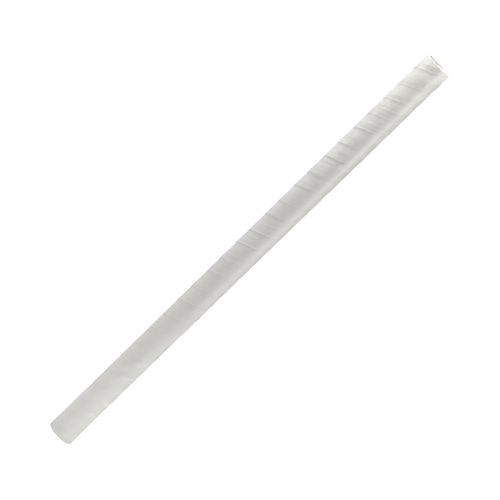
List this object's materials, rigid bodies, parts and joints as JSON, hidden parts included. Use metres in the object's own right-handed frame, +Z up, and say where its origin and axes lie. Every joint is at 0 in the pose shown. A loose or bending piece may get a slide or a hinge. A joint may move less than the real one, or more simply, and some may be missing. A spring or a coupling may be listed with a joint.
{
  "type": "spiral tree guard tube",
  "caption": "Open tube of springy white plastic strip, wound as lapped spirals that stretch apart to wrap a young trunk.",
  "frame": {"origin": "centre of the base rim, on the ground plane", "axes": "+Z up along the tube; -Y is the front line; each strip climbs towards +X across the front"},
  "size_m": [0.0508, 0.0508, 0.914],
  "materials": {
    "white_plastic": "satin, slightly see-through white sheet"
  },
  "bodies": {
    "turn_01": {"strip_a_turn_01": "white_plastic", "strip_b_turn_01": "white_plastic", "strip_b_turn_02": "white_plastic"},
    "turn_02": {"strip_a_turn_02": "white_plastic", "strip_b_turn_03": "white_plastic"},
    "turn_03": {"strip_a_turn_03": "white_plastic", "strip_b_turn_04": "white_plastic"},
    "turn_04": {"strip_a_turn_04": "white_plastic", "strip_b_turn_05": "white_plastic"},
    "turn_05": {"strip_a_turn_05": "white_plastic", "strip_b_turn_06": "white_plastic"},
    "turn_06": {"strip_a_turn_06": "white_plastic", "strip_b_turn_07": "white_plastic"},
    "turn_07": {"strip_a_turn_07": "white_plastic", "strip_b_turn_08": "white_plastic"},
    "turn_08": {"strip_a_turn_08": "white_plastic", "strip_b_turn_09": "white_plastic"},
    "turn_09": {"strip_a_turn_09": "white_plastic", "strip_b_turn_10": "white_plastic"},
    "turn_10": {"strip_a_turn_10": "white_plastic", "strip_b_turn_11": "white_plastic"},
    "turn_11": {"strip_a_turn_11": "white_plastic", "strip_b_turn_12": "white_plastic"},
    "turn_12": {"strip_a_turn_12": "white_plastic", "strip_b_turn_13": "white_plastic"},
    "turn_13": {"strip_a_turn_13": "white_plastic", "strip_b_turn_14": "white_plastic", "strip_a_turn_14": "white_plastic", "strip_b_turn_15": "white_plastic"}
  },
  "joints": [
    {"name": "stretch_02", "type": "slide", "parent": "turn_01", "child": "turn_02", "axis": [0, 0, 1], "range_m": [0, 0.01], "stiffness_N_per_m": 20},
    {"name": "stretch_03", "type": "slide", "parent": "turn_02", "child": "turn_03", "axis": [0, 0, 1], "range_m": [0, 0.01], "stiffness_N_per_m": 20},
    {"name": "stretch_04", "type": "slide", "parent": "turn_03", "child": "turn_04", "axis": [0, 0, 1], "range_m": [0, 0.01], "stiffness_N_per_m": 20},
    {"name": "stretch_05", "type": "slide", "parent": "turn_04", "child": "turn_05", "axis": [0, 0, 1], "range_m": [0, 0.01], "stiffness_N_per_m": 20},
    {"name": "stretch_06", "type": "slide", "parent": "turn_05", "child": "turn_06", "axis": [0, 0, 1], "range_m": [0, 0.01], "stiffness_N_per_m": 20},
    {"name": "stretch_07", "type": "slide", "parent": "turn_06", "child": "turn_07", "axis": [0, 0, 1], "range_m": [0, 0.01], "stiffness_N_per_m": 20},
    {"name": "stretch_08", "type": "slide", "parent": "turn_07", "child": "turn_08", "axis": [0, 0, 1], "range_m": [0, 0.01], "stiffness_N_per_m": 20},
    {"name": "stretch_09", "type": "slide", "parent": "turn_08", "child": "turn_09", "axis": [0, 0, 1], "range_m": [0, 0.01], "stiffness_N_per_m": 20},
    {"name": "stretch_10", "type": "slide", "parent": "turn_09", "child": "turn_10", "axis": [0, 0, 1], "range_m": [0, 0.01], "stiffness_N_per_m": 20},
    {"name": "stretch_11", "type": "slide", "parent": "turn_10", "child": "turn_11", "axis": [0, 0, 1], "range_m": [0, 0.01], "stiffness_N_per_m": 20},
    {"name": "stretch_12", "type": "slide", "parent": "turn_11", "child": "turn_12", "axis": [0, 0, 1], "range_m": [0, 0.01], "stiffness_N_per_m": 20},
    {"name": "stretch_13", "type": "slide", "parent": "turn_12", "child": "turn_13", "axis": [0, 0, 1], "range_m": [0, 0.01], "stiffness_N_per_m": 20}
  ],
  "couplings": [
    {"joint": "stretch_03", "follows": "stretch_02", "ratio": 1},
    {"joint": "stretch_04", "follows": "stretch_02", "ratio": 1},
    {"joint": "stretch_05", "follows": "stretch_02", "ratio": 1},
    {"joint": "stretch_06", "follows": "stretch_02", "ratio": 1},
    {"joint": "stretch_07", "follows": "stretch_02", "ratio": 1},
    {"joint": "stretch_08", "follows": "stretch_02", "ratio": 1},
    {"joint": "stretch_09", "follows": "stretch_02", "ratio": 1},
    {"joint": "stretch_10", "follows": "stretch_02", "ratio": 1},
    {"joint": "stretch_11", "follows": "stretch_02", "ratio": 1},
    {"joint": "stretch_12", "follows": "stretch_02", "ratio": 1},
    {"joint": "stretch_13", "follows": "stretch_02", "ratio": 1}
  ]
}
